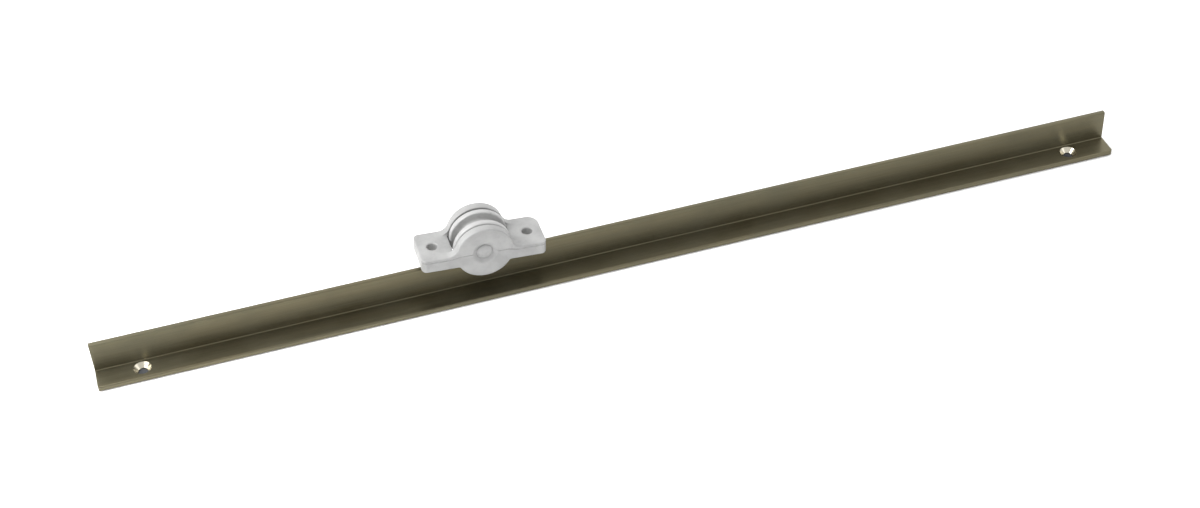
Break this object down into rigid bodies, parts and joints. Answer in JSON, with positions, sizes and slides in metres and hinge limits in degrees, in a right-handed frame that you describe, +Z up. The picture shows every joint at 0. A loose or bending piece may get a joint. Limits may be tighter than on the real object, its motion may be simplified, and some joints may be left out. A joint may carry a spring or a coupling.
{
  "type": "sliding door sheave roller and angle track",
  "caption": "Angle track with countersunk screw holes and a grooved ball-bearing wheel in a flanged housing that rolls along the track's upright leg.",
  "frame": {"origin": "mid length of the track, on the underside, in the middle plane of the upright leg", "axes": "+X along the track, +Y towards the track's back face, +Z up"},
  "size_m": [0.4572, 0.0215, 0.037],
  "materials": {
    "bronze": "satin",
    "cast_nickel": "satin",
    "turned_nickel": "satin",
    "pin_steel": "satin",
    "ring_steel": "polished",
    "ball_steel": "polished",
    "shield_steel": "satin",
    "cage_brass": "satin"
  },
  "bodies": {
    "track": {"track_angle": "bronze"},
    "carriage": {"axle_pin": "pin_steel", "bearing_inner_ring": "ring_steel", "spacer_front": "pin_steel", "spacer_rear": "pin_steel"},
    "housing": {"housing": "cast_nickel"},
    "wheel": {"wheel": "turned_nickel", "bearing_outer_ring": "ring_steel", "bearing_shield_front": "shield_steel", "bearing_shield_rear": "shield_steel"},
    "cage": {"bearing_cage_front": "cage_brass", "bearing_cage_rear": "cage_brass", "ball_1": "ball_steel", "ball_2": "ball_steel", "ball_3": "ball_steel", "ball_4": "ball_steel", "ball_5": "ball_steel", "ball_6": "ball_steel", "ball_7": "ball_steel", "ball_8": "ball_steel"}
  },
  "joints": [
    {"name": "roller_travel", "type": "slide", "parent": "track", "child": "carriage", "axis": [1, 0, 0], "range_m": [-0.1543, 0.2787]},
    {"name": "housing_tilt", "type": "hinge", "parent": "carriage", "child": "housing", "pos_m": [-0.0622, 0, 0.02465], "axis": [0, 1, 0], "range_deg": [-9.3, 0.7]},
    {"name": "wheel_spin", "type": "hinge", "parent": "carriage", "child": "wheel", "pos_m": [-0.0622, 0, 0.02465], "axis": [0, 1, 0], "continuous": true},
    {"name": "cage_orbit", "type": "hinge", "parent": "carriage", "child": "cage", "pos_m": [-0.0622, 0, 0.02465], "axis": [0, 1, 0], "continuous": true}
  ],
  "couplings": [
    {"joint": "wheel_spin", "follows": "roller_travel", "rad_per_m": 120.48},
    {"joint": "cage_orbit", "follows": "roller_travel", "rad_per_m": 72.199}
  ]
}
